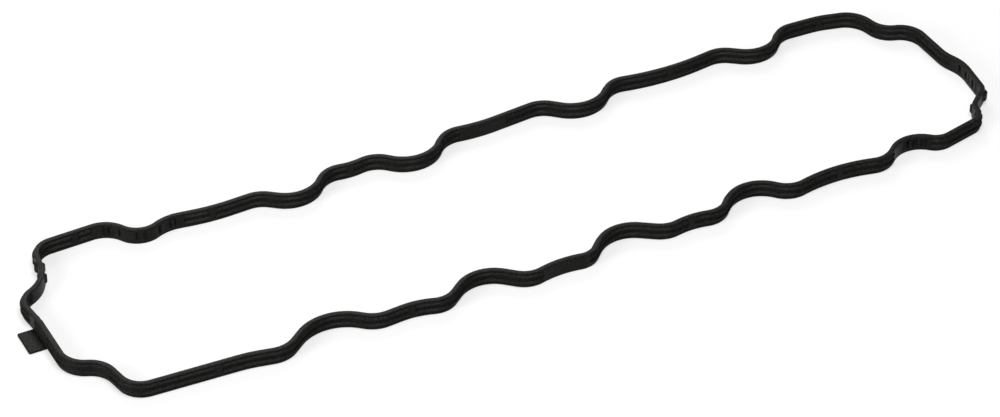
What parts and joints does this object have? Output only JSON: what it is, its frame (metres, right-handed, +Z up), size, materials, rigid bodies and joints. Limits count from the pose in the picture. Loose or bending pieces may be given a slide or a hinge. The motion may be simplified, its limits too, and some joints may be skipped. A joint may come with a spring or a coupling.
{
  "type": "oil pan gasket",
  "caption": "Moulded black rubber sealing ring for a long oil pan: wavy outline that passes inside each bolt, beaded and ribbed section, small flat tab.",
  "frame": {"origin": "middle of the part's box, on the plane that the foot lies on", "axes": "+X along the length, away from the tab; +Y across, towards the side with the deep corner next to the tab; +Z up, from the foot to the crown"},
  "size_m": [0.8852, 0.2298, 0.0145],
  "materials": {
    "rubber": "satin moulded black rubber"
  },
  "bodies": {
    "root": {"gasket": "rubber"}
  },
  "joints": []
}
